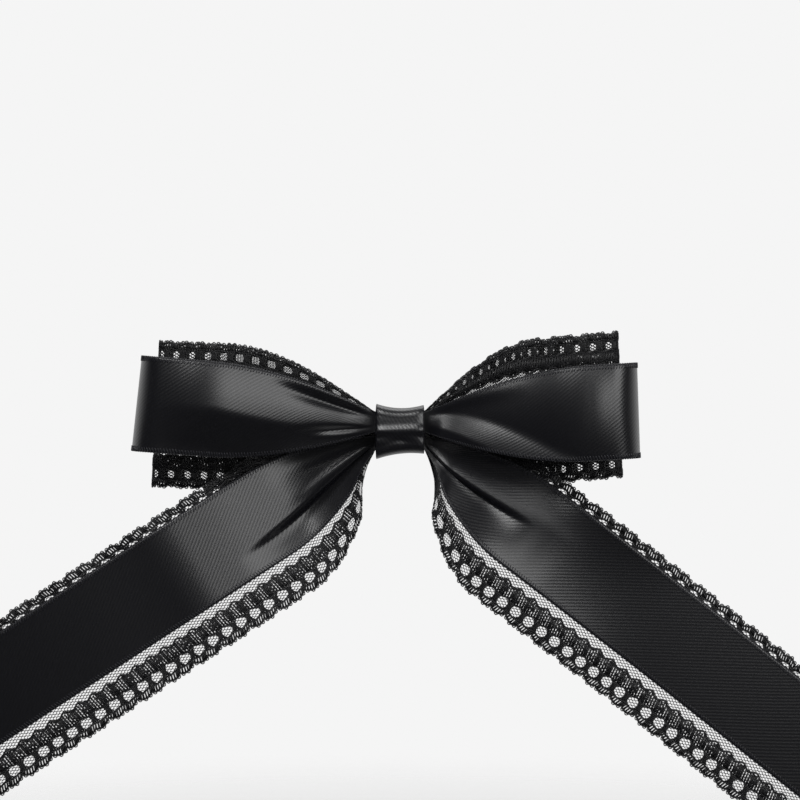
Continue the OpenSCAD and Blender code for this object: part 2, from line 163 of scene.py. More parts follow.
floor_radius = 0.42
floor_drop = 1 * MM
floor_mesh = bpy.data.meshes.new("floor")
rim = np.linspace(0, 2 * math.pi, 96, endpoint=False)
floor_mesh.from_pydata([(floor_radius * math.cos(a), floor_radius * math.sin(a), 0) for a in rim],
                       [], [list(range(len(rim)))])
floor = bpy.data.objects.new("floor", floor_mesh)
floor.location.z = cad_box[0].z - floor_drop
floor.visible_glossy = False
bpy.context.scene.collection.objects.link(floor)

floor_paint, tree, paper = new_material("floor_paper")
paper.inputs["Base Color"].default_value = (backdrop_grey, backdrop_grey, backdrop_grey, 1)
paper.inputs["Roughness"].default_value = 0.9
paper.inputs["Specular IOR Level"].default_value = 0.0
place = node(tree, "ShaderNodeTexCoord")
distance = node(tree, "ShaderNodeVectorMath", operation="LENGTH")
tree.links.new(place.outputs["Object"], distance.inputs[0])
fade = node(tree, "ShaderNodeMapRange", {"From Min": 0.45 * floor_radius,
                                         "From Max": 0.97 * floor_radius, "To Min": 1.0,
                                         "To Max": 0.0}, interpolation_type="SMOOTHSTEP")
tree.links.new(distance.outputs["Value"], fade.inputs["Value"])
tree.links.new(fade.outputs[0], paper.inputs["Alpha"])
floor_mesh.materials.append(floor_paint)

# ---- Satin loops -------------------------------------------------------------------------
# One length of stiff black satin ribbon makes a ring that is pinched in the middle, so that it
# stands out as two hollow loops. Pleats fan out of the knot and die away towards the ends.

knot_low, knot_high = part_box("knot_band")
loops_low, loops_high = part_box("satin_loops")
knot_edge = knot_high.x + 0.1 * MM
satin_width = 24 * MM
satin_thick = 0.3 * MM
loop_depth = 13 * MM
loop_fan = {-1: 42 * MM, 1: 42 * MM}
satin_gather = 5.2 * MM
loop_knot_z = 1.8 * MM
satin_rise = {-1: 7.2 * MM, 1: 5.4 * MM}
satin_reach = {-1: -loops_low.x, 1: loops_high.x}
satin_tilt = {-1: 1.3 * MM, 1: 0.4 * MM}
satin_back_y = loops_high.y - 0.2 * MM
satin_end_back = satin_back_y - 0.6 * MM
satin_end_front = satin_end_back - loop_depth
satin_front_y = satin_back_y - 1.8 * MM


def smooth(u):
    """0 to 1 as u goes from 0 to 1, level at both ends."""
    c = np.clip(u, 0, 1)
    return c * c * (3 - 2 * c)


def opening(u):
    """0 to 1, fast and then levelling off: how a gathered ribbon opens."""
    return np.sin(0.5 * np.pi * np.clip(u, 0, 1))


def ramp(u):
    """0 to 1 at an even slope, rounded off at both ends."""
    c, r = np.clip(u, 0, 1), 0.2
    rounded = np.where(c < r, c * c / (2 * r), np.minimum(c - r / 2, 1))
    rounded = np.where(c > 1 - r, 1 - r - (1 - c) ** 2 / (2 * r), rounded)
    return rounded / (1 - r)


def loop_path(reach, front, back, end_front, end_back, flat_to, steps=90, wrap=28):
    """One side of a looped ribbon from above: out along the front, round the end and back.

    Returns the distances from the knot's middle, the depths and 1 for a front layer.
    """
    radius = abs(end_back - end_front) / 2
    middle = (end_front + end_back) / 2
    straight = reach - radius
    x = straight * (np.arange(steps) / steps) ** 1.15
    out = front + (end_front - front) * ramp((x - knot_edge) / (straight * 0.76))
    home = back + (end_back - back) * smooth((x - flat_to) / (straight - flat_to))
    turn = np.radians(np.linspace(-90, 90, wrap))
    xs = np.concatenate([x, straight + radius * np.cos(turn), x[::-1]])
    ys = np.concatenate([out, middle + radius * np.sin(turn), home[::-1]])
    front_share = np.concatenate([np.ones(steps), np.cos((turn + np.pi / 2) / 2) ** 2,
                                  np.zeros(steps)])
    return xs, ys, front_share


def fold(along, t, start, end, width, height, length):
    """A fold that leaves the knot at start and reaches end, both as shares of the half width.

    A ridge towards the front has a height above 0 and a valley one below it.
    """
    share = along / length
    line = start + (end - start) * np.clip(share, 0, 1)
    strength = smooth(along / (7 * MM)) * (1 - smooth((share - 0.4) / 0.6))
    return height * strength * np.exp(-(((t - line) / width) ** 2))


def bend(along, t, start, end, width, height, length):
    """The cloth below a line from start to end leans forward, or back if the height is negative."""
    line = start + (end - start) * np.clip(along / length, 0, 1)
    strength = smooth(along / (5 * MM)) * (1 - smooth((along / length - 0.9) / 0.5))
    return height * strength * ramp((line - t) / width)


def tuck(along, t, start, end, width, height, length):
    """The cloth steps back across a line from start to end, and comes forward again beyond it."""
    share = along / length
    past = t - (start + (end - start) * np.clip(share, 0, 1))
    strength = smooth(along / (5 * MM)) * (1 - smooth((share - 0.5) / 0.5))
    return -height * strength * smooth(past / width) * (1 - ramp((past - width) / 1.2))


def ring_middle(paths, full, gather, rise, reach, tilt, fan, folds, crown, columns):
    """The middle surface of a ring of ribbon, rows along it and columns up across it."""
    (rx, ry, rf), (lx, ly, lf) = paths
    x = np.concatenate([rx, -lx[-2:0:-1]])[:, None]
    y = np.concatenate([ry, ly[-2:0:-1]])[:, None]
    front = np.concatenate([rf, lf[-2:0:-1]])[:, None]
    side = np.where(x < 0, -1, 1)
    far = np.where(side < 0, reach[-1], reach[1])
    high = np.where(side < 0, rise[-1], rise[1])
    lean = np.where(side < 0, tilt[-1], tilt[1])
    open_in = np.where(side < 0, fan[-1], fan[1])
    t = np.linspace(-1, 1, columns)[None, :]
    along = np.maximum(np.abs(x) - knot_edge, 0)
    half = (gather + (full - gather) * opening(along / open_in)) / 2
    middle = loop_knot_z + (high - loop_knot_z) * np.abs(x) / far
    run_x = np.roll(x, -1, 0) - np.roll(x, 1, 0)
    run_y = np.roll(y, -1, 0) - np.roll(y, 1, 0)
    run = np.hypot(run_x, run_y)
    push = crown * (1 - t * t) * smooth(along / (22 * MM)) * (1 - smooth((along / far - 0.7) / 0.2))
    for s in (-1, 1):
        for shape, *form in folds[s]:
            push = push + np.where(side == s, shape(along, t, *form) * 2 * half / full, 0)
    push = push * front
    shift = side * (-t) * lean * (np.abs(x) / far) ** 2
    return np.stack([x + shift + push * run_y / run, y - push * run_x / run,
                     middle + t * half], axis=2)


def surface_normals(grid, ring):
    """The unit normals of a grid of points, from its neighbours along and across."""
    if ring:
        along = np.roll(grid, -1, 0) - np.roll(grid, 1, 0)
    else:
        along = np.gradient(grid, axis=0)
    normal = np.cross(along, np.gradient(grid, axis=1))
    return normal / np.linalg.norm(normal, axis=2, keepdims=True)


def lengths_along(grid):
    """Distance along the middle column, one number for each row."""
    line = grid[:, grid.shape[1] // 2]
    steps = np.linalg.norm(np.diff(line, axis=0), axis=1)
    return np.concatenate([[0], np.cumsum(steps)])


def cloth(name, middle, thick, width, ring=False, start=0.0):
    """A closed sheet of cloth round a middle surface, with its weave laid out in the UV map."""
    rows, columns = middle.shape[:2]
    normal = surface_normals(middle, ring)
    points = np.concatenate([(middle + normal * thick / 2).reshape(-1, 3),
                             (middle - normal * thick / 2).reshape(-1, 3)])
    last = rows if ring else rows - 1
    i, j = np.meshgrid(np.arange(last), np.arange(columns - 1), indexing="ij")
    a = (i * columns + j).ravel()
    b = (((i + 1) % rows) * columns + j).ravel()
    top = np.stack([a, b, b + 1, a + 1], axis=1)
    half = rows * columns
    faces = [top, top[:, ::-1] + half]
    r = np.arange(last)
    for edge, flip in ((0, False), (columns - 1, True)):
        p, q = r * columns + edge, ((r + 1) % rows) * columns + edge
        rim_faces = np.stack([p, p + half, q + half, q], axis=1)
        faces.append(rim_faces[:, ::-1] if flip else rim_faces)
    if not ring:
        c = np.arange(columns - 1)
        for row, flip in ((0, True), (rows - 1, False)):
            p, q = row * columns + c, row * columns + c + 1
            rim_faces = np.stack([p, p + half, q + half, q], axis=1)
            faces.append(rim_faces[:, ::-1] if flip else rim_faces)
    sheet_faces = 2 * len(top)
    faces = np.concatenate(faces)
    mesh = bpy.data.meshes.new(name)
    mesh.from_pydata(points, [], faces.tolist())
    is_smooth = np.arange(len(faces)) < sheet_faces
    mesh.polygons.foreach_set("use_smooth", is_smooth)
    run = lengths_along(middle)
    if ring:
        run = np.concatenate([run, [run[-1] + np.linalg.norm(
            middle[0, columns // 2] - middle[-1, columns // 2])]])
    corners = faces % half
    row, column = corners // columns, corners % columns
    wraps = ring & (row.max(axis=1, keepdims=True) - row > rows // 2)
    u = start + run[np.where(wraps, rows, row)]
    v = (column / (columns - 1) - 0.5) * width
    layer = mesh.uv_layers.new(name="ribbon")
    layer.data.foreach_set("uv", np.stack([u, v], axis=2).ravel())
    made = bpy.data.objects.new(name, mesh)
    bpy.context.scene.collection.objects.link(made)
    return made


satin_folds = {
    -1: [(fold, 0.95, 1.0, 0.3, 2.2 * MM, 34 * MM), (fold, 0.45, 0.8, 0.2, -1.4 * MM, 30 * MM),
         (fold, -0.5, -0.4, 0.16, -2.0 * MM, 22 * MM), (bend, -0.45, 0.1, 1.0, -3.6 * MM, 42 * MM)],
    1: [(bend, 0.75, -1.0, 1.1, 4.6 * MM, 42 * MM), (fold, 0.95, 0.8, 0.3, 1.4 * MM, 30 * MM)],
}


def on_surface(carrier, points):
    """Places in space for pattern points: u along the ribbon, v across it, h off its face."""
    middle, normal, run, width = carrier
    u, v, h = points[:, 0], points[:, 1], points[:, 2]
    rows, columns = middle.shape[:2]
    row = np.interp(u, run, np.arange(rows))
    column = (v / width + 0.5) * (columns - 1)
    i = np.clip(row.astype(int), 0, rows - 2)
    j = np.clip(column.astype(int), 0, columns - 2)
    fi, fj = (row - i)[:, None], (column - j)[:, None]

    def blended(field):
        near = field[i, j] * (1 - fj) + field[i, j + 1] * fj
        far = field[i + 1, j] * (1 - fj) + field[i + 1, j + 1] * fj
        return near * (1 - fi) + far * fi

    return blended(middle) + blended(normal) * h[:, None]


def threads(lines, width, height, closed=False, lift=0.0):
    """Three-sided threads along flat pattern lines, an array of lines by points by (u, v)."""
    lines = np.asarray(lines, dtype=float)
    count, length = lines.shape[:2]
    if closed:
        along = np.roll(lines, -1, 1) - np.roll(lines, 1, 1)
    else:
        along = np.gradient(lines, axis=1)
    along /= np.maximum(np.linalg.norm(along, axis=2, keepdims=True), 1e-9)
    side = np.stack([-along[..., 1], along[..., 0]], axis=2) * width / 2
    flat = np.full(lines.shape[:2] + (1,), lift)
    left = np.concatenate([lines + side, flat - height / 2], axis=2)
    right = np.concatenate([lines - side, flat - height / 2], axis=2)
    top = np.concatenate([lines, flat + height / 2], axis=2)
    points = np.stack([left, right, top], axis=2).reshape(-1, 3)
    c, s = np.meshgrid(np.arange(count), np.arange(length if closed else length - 1),
                       indexing="ij")
    a = ((c * length + s) * 3).ravel()
    b = ((c * length + (s + 1) % length) * 3).ravel()
    faces = [np.stack([a + p, a + q, b + q, b + p], axis=1) for p, q in ((0, 1), (1, 2), (2, 0))]
    caps = np.empty((0, 3), dtype=int)
    if not closed:
        first = np.arange(count) * length * 3
        last = first + (length - 1) * 3
        caps = np.concatenate([np.stack([first, first + 2, first + 1], axis=1),
                               np.stack([last, last + 1, last + 2], axis=1)])
    return points, np.concatenate(faces), caps


def thread_mesh(name, carrier, batches, scale):
    """One mesh of many threads, worked flat and then laid on a draped surface."""
    points = np.concatenate([b[0] for b in batches])
    offsets = np.cumsum([0] + [len(b[0]) for b in batches[:-1]])
    quads = np.concatenate([b[1] + o for b, o in zip(batches, offsets)])
    caps = np.concatenate([b[2] + o for b, o in zip(batches, offsets)])
    loops = np.concatenate([quads.ravel(), caps.ravel()])
    starts = np.concatenate([np.arange(len(quads)) * 4, len(quads) * 4 + np.arange(len(caps)) * 3])
    mesh = bpy.data.meshes.new(name)
    mesh.vertices.add(len(points))
    mesh.vertices.foreach_set("co", on_surface(carrier, points).ravel())
    mesh.loops.add(len(loops))
    mesh.loops.foreach_set("vertex_index", loops)
    mesh.polygons.add(len(starts))
    mesh.polygons.foreach_set("loop_start", starts)
    mesh.update(calc_edges=True)
    mesh.validate()
    layer = mesh.uv_layers.new(name="OFBake")
    flat = (points[:, :2] - points[:, :2].min(axis=0)) / scale + 0.005
    layer.data.foreach_set("uv", flat[loops].ravel())
    made = bpy.data.objects.new(name, mesh)
    bpy.context.scene.collection.objects.link(made)
    return made


def selvedge(name, carrier, start, end):
    """The ribbon's two woven edges: a bead of thread bound with close slanting stitches."""
    width = carrier[3]
    batches = []
    stitch = np.arange(start, end - 1 * MM, 0.74 * MM)[:, None]
    along = np.linspace(0, 0.6, 4)[None, :] * MM
    for edge in (-1, 1):
        inward = np.linspace(1.15, -0.18, 4)[None, :] * MM
        u, v = np.broadcast_arrays(stitch + along, edge * (width / 2 - inward))
        lines = np.stack([u, v], axis=-1)
        for face in (-1, 1):
            batches.append(threads(lines, 0.4 * MM, 0.26 * MM * face, lift=0.19 * MM * face))
        u = np.arange(start, end, 1.2 * MM)
        bead = np.stack([u, np.full(len(u), edge * width / 2)], axis=-1)
        batches.append(threads([bead], 0.34 * MM, 0.34 * MM))
    return thread_mesh(name, carrier, batches, end - start)


satin_paths = [loop_path(satin_reach[s], satin_front_y, satin_back_y, satin_end_front,
                         satin_end_back, knot_edge) for s in (1, -1)]
satin_ring = ring_middle(satin_paths, satin_width, satin_gather, satin_rise, satin_reach,
                         satin_tilt, loop_fan, satin_folds, 1.6 * MM, 49)
satin_loops = cloth("satin_loops_ribbon", satin_ring, satin_thick, satin_width, ring=True)


# The twill of the satin's face: fine ribs that run at a slant to the ribbon
twill_pitch = 0.82 * MM
twill_angle = math.radians(36)


def rib_group():
    """Node group: slanted ribs from a UV map, as a height from 0 to 1 and a soft variation."""
    group = bpy.data.node_groups.new("twill_ribs", "ShaderNodeTree")
    for name, kind in (("Pitch", "NodeSocketFloat"), ("Angle", "NodeSocketFloat")):
        group.interface.new_socket(name, in_out="INPUT", socket_type=kind)
    for name in ("Ribs", "Variation"):
        group.interface.new_socket(name, in_out="OUTPUT", socket_type="NodeSocketFloat")
    start = node(group, "NodeGroupInput")
    end = node(group, "NodeGroupOutput")
    uv = node(group, "ShaderNodeUVMap", uv_map="ribbon")
    uv_parts = node(group, "ShaderNodeSeparateXYZ")
    group.links.new(uv.outputs[0], uv_parts.inputs[0])
    u, v = uv_parts.outputs["X"], uv_parts.outputs["Y"]
    across = math_node(group, "SUBTRACT",
                       math_node(group, "MULTIPLY", v,
                                 math_node(group, "COSINE", start.outputs["Angle"])),
                       math_node(group, "MULTIPLY", u,
                                 math_node(group, "SINE", start.outputs["Angle"])))
    turns = math_node(group, "DIVIDE", across, start.outputs["Pitch"])
    uneven = node(group, "ShaderNodeTexNoise", {"Scale": 900.0, "Detail": 2.0})
    group.links.new(uv.outputs[0], uneven.inputs["Vector"])
    wobble = math_node(group, "MULTIPLY_ADD", uneven.outputs[0], 0.16, turns)
    wave = math_node(group, "COSINE", math_node(group, "MULTIPLY", wobble, 2 * math.pi))
    ribs = math_node(group, "MULTIPLY_ADD", wave, 0.5, 0.5)
    group.links.new(ribs, end.inputs["Ribs"])
    broad = node(group, "ShaderNodeTexNoise", {"Scale": 2600.0, "Detail": 1.0})
    group.links.new(uv.outputs[0], broad.inputs["Vector"])
    group.links.new(broad.outputs[0], end.inputs["Variation"])
    return group


twill_ribs = rib_group()


def mixed_colour(tree, shader, factor, low, high):
    """Paint the shader with a colour that goes from low to high as the factor rises."""
    colour = node(tree, "ShaderNodeMix", data_type="RGBA")
    colour.inputs["A"].default_value = (*low, 1)
    colour.inputs["B"].default_value = (*high, 1)
    tree.links.new(factor, colour.inputs["Factor"])
    tree.links.new(colour.outputs["Result"], shader.inputs["Base Color"])


def ranged(tree, value, low, high):
    """A value from low to high as the input goes from 0 to 1."""
    made = node(tree, "ShaderNodeMapRange", {"To Min": low, "To Max": high})
    tree.links.new(value, made.inputs["Value"])
    return made.outputs[0]


def bumped(tree, shader, height, strength, distance):
    """Give the shader small relief from a height."""
    bump = node(tree, "ShaderNodeBump", {"Strength": strength, "Distance": distance})
    tree.links.new(height, bump.inputs["Height"])
    tree.links.new(bump.outputs[0], shader.inputs["Normal"])


def satin_material(name, groove, painted_sheen_crest):
    """Black satin: glossy ribs, with painted shade that darkens the grooves between them and a
    painted sheen that lightens the rib crests.
    """
    material, tree, shader = new_material(name)
    shader.inputs["Specular IOR Level"].default_value = 1.0
    ribs = node(tree, "ShaderNodeGroup", node_tree=twill_ribs)
    ribs.inputs["Pitch"].default_value = twill_pitch
    ribs.inputs["Angle"].default_value = twill_angle
    # The colour runs from painted shade in the grooves to a painted sheen on the crests of the ribs
    mixed_colour(tree, shader, ribs.outputs["Ribs"], groove, painted_sheen_crest)
    gloss = ranged(tree, ribs.outputs["Ribs"], 0.32, 0.24)
    rough = math_node(tree, "MULTIPLY_ADD", ribs.outputs["Variation"], 0.1, gloss)
    tree.links.new(rough, shader.inputs["Roughness"])
    height = math_node(tree, "MULTIPLY_ADD", ribs.outputs["Variation"], 0.4, ribs.outputs["Ribs"])
    bumped(tree, shader, height, 1.0, 0.014 * MM)
    return material


# Groove colour: painted shade. Crest colour: painted sheen.
satin = satin_material("black_satin", (0.0016, 0.0016, 0.0028), (0.0034, 0.0036, 0.006))
satin_loops.data.materials.append(satin)


def thread_material(name, dark, light, gloss):
    """Spun polyester thread: fine fibres, slightly uneven in tone, with a soft shine."""
    material, tree, shader = new_material(name)
    shader.inputs["Specular IOR Level"].default_value = 0.7
    place = node(tree, "ShaderNodeTexCoord")
    fibre = node(tree, "ShaderNodeTexNoise", {"Scale": 2500.0, "Detail": 2.0})
    tree.links.new(place.outputs["Object"], fibre.inputs["Vector"])
    mixed_colour(tree, shader, fibre.outputs[0], dark, light)
    rough = ranged(tree, fibre.outputs[0], gloss, gloss + 0.25)
    tree.links.new(rough, shader.inputs["Roughness"])
    return material


edge_thread = thread_material("black_selvedge", (0.004, 0.004, 0.006), (0.02, 0.02, 0.027), 0.3)
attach(satin_loops, "bow")
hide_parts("satin_loops")
loops_run = lengths_along(satin_ring)
loops_carrier = (satin_ring, surface_normals(satin_ring, True), loops_run, satin_width)
loops_edge = selvedge("satin_loops_edge", loops_carrier, 0, loops_run[-1])
loops_edge.data.materials.append(edge_thread)
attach(loops_edge, "bow")

# ---- Satin tails -------------------------------------------------------------------------
# A second length of the satin passes through the knot and hangs down at both sides. It is cut
# at a slant and sealed with heat.

tail_length = {-1: 190 * MM, 1: 185 * MM}
tail_drop = {-1: math.radians(32), 1: math.radians(37)}
tail_fan = 34 * MM
tail_gather = 1.7 * MM
tail_exit_z = -3.1 * MM
tail_droop = 5 * MM
tail_slant = 12 * MM
satin_tail_y = satin_back_y + 2.4 * MM
satin_upper = 0.47 * satin_width


def tail_form(a, t, side):
    """How far forward a tail stands at a from the knot and t across it, 1 at the lower edge."""
    left = 10 * MM * ramp((a - 18 * MM) / (46 * MM)) - 5 * MM * smooth((a - 72 * MM) / (100 * MM))
    right = (5 * MM * ramp((a - 8 * MM) / (40 * MM)) - 6 * MM * smooth((a - 50 * MM) / (110 * MM))
             + 2.4 * MM * (t + 1.1) * smooth(a / (10 * MM)) * (1 - smooth((a - 18 * MM) / (40 * MM)))
             + 0.8 * MM * t * t * smooth((a - 14 * MM) / (14 * MM))
             * (1 - smooth((a - 50 * MM) / (30 * MM))))
    return np.where(side < 0, left, right)


def tail_middle(upper, lower, depth, folds, columns, steps=130):
    """The middle surface of a tail ribbon, from the left end through the knot to the right."""
    share = np.linspace(0, 1, steps) ** 1.35
    side = np.concatenate([-np.ones(steps), np.ones(steps)])[:, None]
    share = np.concatenate([share[::-1], share])[:, None]
    length = np.where(side < 0, tail_length[-1], tail_length[1])
    drop = np.where(side < 0, tail_drop[-1], tail_drop[1])
    a = share * length
    opened = opening(a / tail_fan)
    up = tail_gather + (upper - tail_gather) * opened
    down = tail_gather + (lower - tail_gather) * opened
    j = np.linspace(1, 0, columns)[None, :]
    v = -up + (up + down) * j
    flat_v = -upper + (upper + lower) * j
    turn = drop * smooth(a / (14 * MM))
    x = knot_edge + a * np.cos(drop)
    z = tail_exit_z - a * np.sin(drop) - tail_droop * (a / length) ** 2
    sway = (1.6 * MM * np.sin(a * 33) * smooth((a - 40 * MM) / (40 * MM))
            - 2 * MM * smooth((a - 30 * MM) / (90 * MM)))
    t = np.clip(flat_v / satin_upper, -1.25, 1.25)
    push = tail_form(a, t, side)
    for s in (-1, 1):
        for shape, *form in folds[s]:
            pushed = shape(a, flat_v / satin_upper, *form) * (up + down) / (upper + lower)
            push = push + np.where(side == s, pushed, 0)
    slant = tail_slant * smooth((a - 100 * MM) / (length - 100 * MM)) * v / (up + down)
    return np.stack([side * (x - v * np.sin(turn) + slant * np.cos(drop)),
                     depth + sway - push,
                     z - v * np.cos(turn) - slant * np.sin(drop)], axis=2)


tail_folds = {
    -1: [(tuck, 0.1, 0.5, 0.2, 3.4 * MM, 46 * MM), (fold, -0.15, 0.3, 0.14, 1.2 * MM, 30 * MM),
         (fold, -0.7, -0.6, 0.3, -1.4 * MM, 30 * MM)],
    1: [(tuck, 0.35, -0.1, 0.16, 3.6 * MM, 36 * MM), (bend, 0.3, -0.1, 1.3, -2.4 * MM, 36 * MM)],
}
satin_tail = tail_middle(satin_upper, satin_width - satin_upper, satin_tail_y, tail_folds, 49)
satin_tails = cloth("satin_tails_ribbon", satin_tail, satin_thick, satin_width)
satin_tails.data.materials.append(satin)
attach(satin_tails, "bow")
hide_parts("satin_tails")
tails_run = lengths_along(satin_tail)
tails_carrier = (satin_tail, surface_normals(satin_tail, False), tails_run, satin_width)
tails_edge = selvedge("satin_tails_edge", tails_carrier, 0, tails_run[-1])
tails_edge.data.materials.append(edge_thread)
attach(tails_edge, "bow")

# ---- Lace tails --------------------------------------------------------------------------
# Black floral lace trim, cut to the tails' lengths and laid behind the satin. It is a fine net
# of six-sided cells, with embroidered flowers and a scalloped border worked along both edges.

lace_width = 38 * MM
lace_margin = 3 * MM
net_inset = 1.7 * MM
lace_tail_y = satin_tail_y + 1.0 * MM
lace_upper = satin_upper + lace_margin
cell_length = 1.45 * MM
cell_height = 0.78 * MM
net_thread = 0.2 * MM
window = 4.3 * MM


def net_of_cells(start, end, low, high):
    """The net: wavy threads along the ribbon that touch, so six-sided cells open between."""
    row_pitch = cell_height / 2
    count = int((high - low) / row_pitch)
    steps = int((end - start) / cell_length)
    phase = np.array([0.0, 0.36, 0.68])
    u = (np.arange(steps)[:, None] + phase[None, :]).ravel() * cell_length + start
    wave = np.tile(np.array([0.5, 0.5, -0.5]), steps) * row_pitch
    u = u[None, :] + (np.arange(count) % 2)[:, None] * cell_length / 2
    v = low + (np.arange(count)[:, None] + 0.5) * row_pitch + wave[None, :]
    return threads(np.stack([np.clip(u, start, end), v], axis=2), net_thread, net_thread)


def edge_line(u):
    """How far inside the ribbon's straight edge the scalloped edge lies at each u."""
    return MM * (0.9 * (1 - np.abs(np.sin(np.pi * u / window)) ** 0.8)
                 + 0.5 * np.sin(np.pi * u / (2 * window)) ** 2)


def border(start, end, edge):
    """One embroidered border. Edge is 1 for the lower edge of the ribbon and -1 for the upper."""

    def lines(u, inside):
        u, inside = np.broadcast_arrays(u, inside)
        return np.stack([u, edge * (lace_width / 2 - inside)], axis=-1)

    made = []
    u = np.arange(start, end, 0.4 * MM)
    turns = 2 * np.pi * u / window
    made.append(threads([lines(u, edge_line(u))], 0.62 * MM, 0.45 * MM))
    made.append(threads([lines(u, (1.95 + 0.2 * np.cos(turns)) * MM)], 0.55 * MM, 0.42 * MM))
    made.append(threads([lines(u, (4.7 - 0.25 * np.cos(turns)) * MM)], 0.55 * MM, 0.42 * MM))
    made.append(threads([lines(u, (8.3 + 0.5 * np.cos(turns + 0.6)) * MM)], 0.6 * MM, 0.45 * MM))
    # Picots: small thread loops that stand out of the edge
    place = np.arange(start + 0.7 * MM, end - 0.7 * MM, window / 3)[:, None]
    turn = np.linspace(-0.3, math.pi + 0.3, 6)[None, :]
    made.append(threads(lines(place + 0.5 * MM * np.cos(turn),
                              edge_line(place) - 0.6 * MM * np.sin(turn)),
                        0.3 * MM, 0.28 * MM))
    # Close stitches fill the edge and the inner band
    u = np.arange(start + 0.3 * MM, end - 0.3 * MM, 0.36 * MM)[:, None]
    across = np.linspace(0, 1, 3)[None, :]
    uneven = 0.12 * MM * np.sin(u * 7919)
    outer = edge_line(u)
    made.append(threads(lines(u + uneven + 0.5 * MM * across,
                              outer + (1.95 * MM - outer) * across),
                        0.4 * MM, 0.32 * MM, lift=0.05 * MM))
    made.append(threads(lines(u - uneven - 0.7 * MM * across, (4.7 + 3.6 * across) * MM),
                        0.4 * MM, 0.3 * MM, lift=0.05 * MM))
    # Knotted bars between the windows, each of five threads that spread at both ends
    bars = np.arange(start + 1.0 * MM, end - 1.0 * MM, window)[:, None, None]
    spread = np.linspace(-1, 1, 5)[None, :, None]
    across = np.linspace(0, 1, 5)[None, None, :]
    u = bars + spread * MM * (0.5 + 0.75 * np.abs(2 * across - 1) ** 2)
    made.append(threads(lines(u, (1.9 + 2.9 * across) * MM).reshape(-1, 5, 2), 0.42 * MM,
                        0.36 * MM))
    # Small raised rings along the inner band, one under each bar
    turn = np.linspace(0, 2 * math.pi, 8, endpoint=False)[None, :]
    for radius in (0.4, 1.2):
        made.append(threads(lines(bars[:, 0] + radius * MM * np.cos(turn),
                                  (6.4 + radius * np.sin(turn)) * MM),
                            0.44 * MM, 0.36 * MM, closed=True, lift=0.12 * MM))
    return made


def leaf_outline(root, angle, length, width, steps=12):
    """A closed leaf or petal outline that grows from its root at an angle."""
    turn = np.linspace(0, 2 * math.pi, steps, endpoint=False)
    along = (1 - np.cos(turn)) / 2 * length
    across = np.sin(turn) * (0.6 + 0.4 * (1 - np.cos(turn)) / 2) * width / 2
    return np.stack([root[0] + along * math.cos(angle) - across * math.sin(angle),
                     root[1] + along * math.sin(angle) + across * math.cos(angle)], axis=1)


def leaf_stitches(root, angle, length, width, pitch):
    """Short stitches side by side that fill a leaf."""
    along = np.arange(0.12 * length, 0.95 * length, pitch)
    share = along / length
    half = np.sqrt(np.clip(share * (1 - share), 0, 1)) * (0.6 + 0.4 * share) * width * 0.95
    ends = np.stack([-half, half], axis=1)
    u = root[0] + along[:, None] * math.cos(angle) - ends * math.sin(angle)
    v = root[1] + along[:, None] * math.sin(angle) + ends * math.cos(angle)
    return np.stack([u, v], axis=2)


def flowers(start, end):
    """Sprigs along the middle of the lace: a five-petalled flower, its stem and its leaves."""
    pitch = 8 * window
    made = []
    petals, leaves, stitches, eyes, stems = [], [], [], [], []
    turn = np.linspace(0, 2 * math.pi, 10, endpoint=False)
    for k, middle in enumerate(np.arange(start + 0.4 * pitch, end - 0.3 * pitch, pitch)):
        flip = 1 if k % 2 else -1
        heart = np.array([middle, 3.2 * MM * flip])
        for petal in range(5):
            angle = 0.3 + petal * 2 * math.pi / 5
            root = heart + 1.1 * MM * np.array([math.cos(angle), math.sin(angle)])
            petals.append(leaf_outline(root, angle, 4.1 * MM, 3.7 * MM))
            stitches.append((root, angle, 4.1 * MM, 3.4 * MM))
        for radius in (0.45, 1.0):
            eyes.append(np.stack([heart[0] + radius * MM * np.cos(turn),
                                  heart[1] + radius * MM * np.sin(turn)], axis=1))
        path = np.linspace(0, 1, 14)
        stem_u = middle + (5.0 + 18.0 * path) * MM
        stem_v = flip * (3.2 - 9.5 * np.sin(path * 2.3) + 3.0 * path) * MM
        stems.append(np.stack([stem_u, stem_v], axis=1))
        for at, lean, size in ((3, 1.1, 4.4), (5, -1.3, 4.8), (8, 1.2, 4.6), (10, -1.0, 4.2),
                               (13, 0.2, 4.8)):
            way = math.atan2(stem_v[at] - stem_v[at - 1], stem_u[at] - stem_u[at - 1])
            root = np.array([stem_u[at], stem_v[at]])
            leaves.append(leaf_outline(root, way + lean * flip, size * MM, 2.3 * MM))
            stitches.append((root, way + lean * flip, size * MM, 2.0 * MM))
    made.append(threads(petals, 0.4 * MM, 0.34 * MM, closed=True))
    made.append(threads(leaves, 0.36 * MM, 0.32 * MM, closed=True))
    made.append(threads(eyes, 0.4 * MM, 0.36 * MM, closed=True))
    made.append(threads(stems, 0.4 * MM, 0.34 * MM))
    for root, angle, length, width in stitches:
        made.append(threads(leaf_stitches(root, angle, length, width, 0.36 * MM), 0.27 * MM,
                            0.24 * MM))
    return made


def lace_piece(name, carrier, start, end):
    """One length of the lace: its net, and the embroidery that is worked on the net."""
    half = lace_width / 2
    net = thread_mesh(f"{name}_net", carrier, [net_of_cells(start, end, net_inset - half,
                                                            half - net_inset)], end - start)
    work = border(start, end, 1) + border(start, end, -1) + flowers(start, end)
    return net, thread_mesh(f"{name}_embroidery", carrier, work, end - start)


net_thread_finish = thread_material("black_net_thread", (0.002, 0.002, 0.003),
                                    (0.008, 0.008, 0.01), 0.4)
lace_thread = thread_material("black_lace_thread", (0.002, 0.002, 0.003), (0.01, 0.01, 0.012), 0.36)


